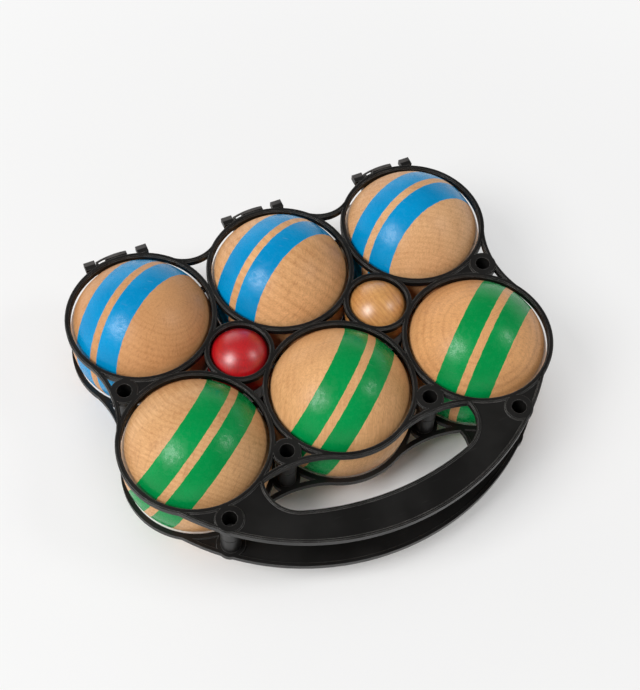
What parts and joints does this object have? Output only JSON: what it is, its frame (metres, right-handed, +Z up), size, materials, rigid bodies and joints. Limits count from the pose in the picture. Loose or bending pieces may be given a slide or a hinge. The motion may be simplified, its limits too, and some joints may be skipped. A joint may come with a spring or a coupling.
{
  "type": "boules set in a carrier",
  "caption": "Striped wooden boules and small jacks held between two moulded plastic ring frames with a carrying handle and swing latches.",
  "frame": {"origin": "middle of the object's box on the plane that the boules stand on", "axes": "+X along a row of boules to the right as seen from the handle, +Y from the handle to the latches, +Z up"},
  "size_m": [0.2276, 0.1968, 0.074],
  "materials": {
    "frame_plastic": "satin, fine moulded grain",
    "latch_plastic": "satin, fine moulded grain",
    "screw_steel": "plain zinc-plated steel",
    "pin_steel": "drawn steel",
    "beech": "turned beech under thin clear lacquer",
    "blue_paint": "thin satin paint on the wood",
    "green_paint": "thin satin paint on the wood",
    "red_lacquer": "red lacquer on turned wood",
    "clear_lacquered_wood": "clear gloss lacquer on turned wood"
  },
  "bodies": {
    "carrier": {"upper_frame": "frame_plastic", "lower_frame": "frame_plastic", "frame_screws": "screw_steel", "hinge_pins": "pin_steel"},
    "latch_left": {"latch_left": "latch_plastic"},
    "latch_middle": {"latch_middle": "latch_plastic"},
    "latch_right": {"latch_right": "latch_plastic"},
    "boule_blue_left": {"ball_blue_left": "beech", "bands_blue_left": "blue_paint"},
    "boule_blue_middle": {"ball_blue_middle": "beech", "bands_blue_middle": "blue_paint"},
    "boule_blue_right": {"ball_blue_right": "beech", "bands_blue_right": "blue_paint"},
    "boule_green_left": {"ball_green_left": "beech", "bands_green_left": "green_paint"},
    "boule_green_middle": {"ball_green_middle": "beech", "bands_green_middle": "green_paint"},
    "boule_green_right": {"ball_green_right": "beech", "bands_green_right": "green_paint"},
    "jack_red": {"jack_red": "red_lacquer"},
    "jack_natural": {"jack_natural": "clear_lacquered_wood"}
  },
  "joints": [
    {"name": "latch_left_swing", "type": "hinge", "parent": "carrier", "child": "latch_left", "pos_m": [-0.0757, 0.09605, 0.022], "axis": [-1, 0, 0], "range_deg": [0, 100]},
    {"name": "latch_middle_swing", "type": "hinge", "parent": "carrier", "child": "latch_middle", "pos_m": [0, 0.09605, 0.022], "axis": [-1, 0, 0], "range_deg": [0, 100]},
    {"name": "latch_right_swing", "type": "hinge", "parent": "carrier", "child": "latch_right", "pos_m": [0.0757, 0.09605, 0.022], "axis": [-1, 0, 0], "range_deg": [0, 100]},
    {"name": "boule_blue_left_roll", "type": "hinge", "parent": "carrier", "child": "boule_blue_left", "pos_m": [-0.0757, 0.05525, 0.037], "axis": [0, 0, 1], "continuous": true},
    {"name": "boule_blue_middle_roll", "type": "hinge", "parent": "carrier", "child": "boule_blue_middle", "pos_m": [0, 0.05525, 0.037], "axis": [0, 0, 1], "continuous": true},
    {"name": "boule_blue_right_roll", "type": "hinge", "parent": "carrier", "child": "boule_blue_right", "pos_m": [0.0757, 0.05525, 0.037], "axis": [0, 0, 1], "continuous": true},
    {"name": "boule_green_left_roll", "type": "hinge", "parent": "carrier", "child": "boule_green_left", "pos_m": [-0.0757, -0.02045, 0.037], "axis": [0, 0, 1], "continuous": true},
    {"name": "boule_green_middle_roll", "type": "hinge", "parent": "carrier", "child": "boule_green_middle", "pos_m": [0, -0.02045, 0.037], "axis": [0, 0, 1], "continuous": true},
    {"name": "boule_green_right_roll", "type": "hinge", "parent": "carrier", "child": "boule_green_right", "pos_m": [0.0757, -0.02045, 0.037], "axis": [0, 0, 1], "continuous": true},
    {"name": "jack_red_roll", "type": "hinge", "parent": "carrier", "child": "jack_red", "pos_m": [-0.03785, 0.0174, 0.04261], "axis": [0, 0, 1], "continuous": true},
    {"name": "jack_natural_roll", "type": "hinge", "parent": "carrier", "child": "jack_natural", "pos_m": [0.03785, 0.0174, 0.04261], "axis": [0, 0, 1], "continuous": true}
  ]
}
